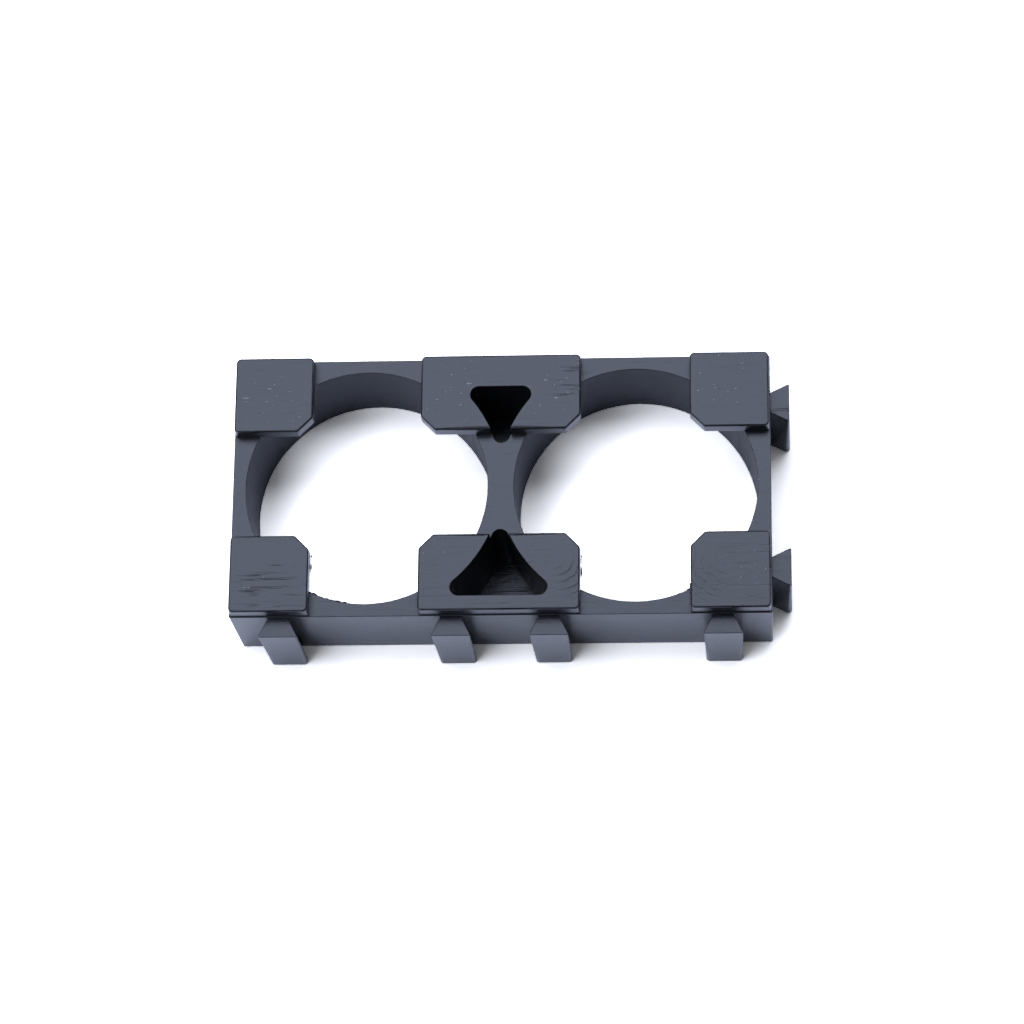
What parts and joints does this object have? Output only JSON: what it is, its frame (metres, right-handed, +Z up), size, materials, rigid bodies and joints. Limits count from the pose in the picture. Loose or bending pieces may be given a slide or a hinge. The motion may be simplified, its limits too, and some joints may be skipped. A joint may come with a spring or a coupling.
{
  "type": "battery cell holder bracket",
  "caption": "Moulded plastic end bracket that holds cylindrical cells side by side in round bores under stop pads, and links to its neighbours by dovetail hooks and slots.",
  "frame": {"origin": "middle of the underside, on the bridge between the two cell bores", "axes": "+X along the row of cells, towards the side with two hooks; -Y towards the side with four hooks; +Z up, towards the stop pads"},
  "size_m": [0.0425, 0.0221, 0.0092],
  "materials": {
    "black_plastic": "satin moulded, dark blue-grey black"
  },
  "bodies": {
    "root": {"cell_bracket": "black_plastic"}
  },
  "joints": []
}
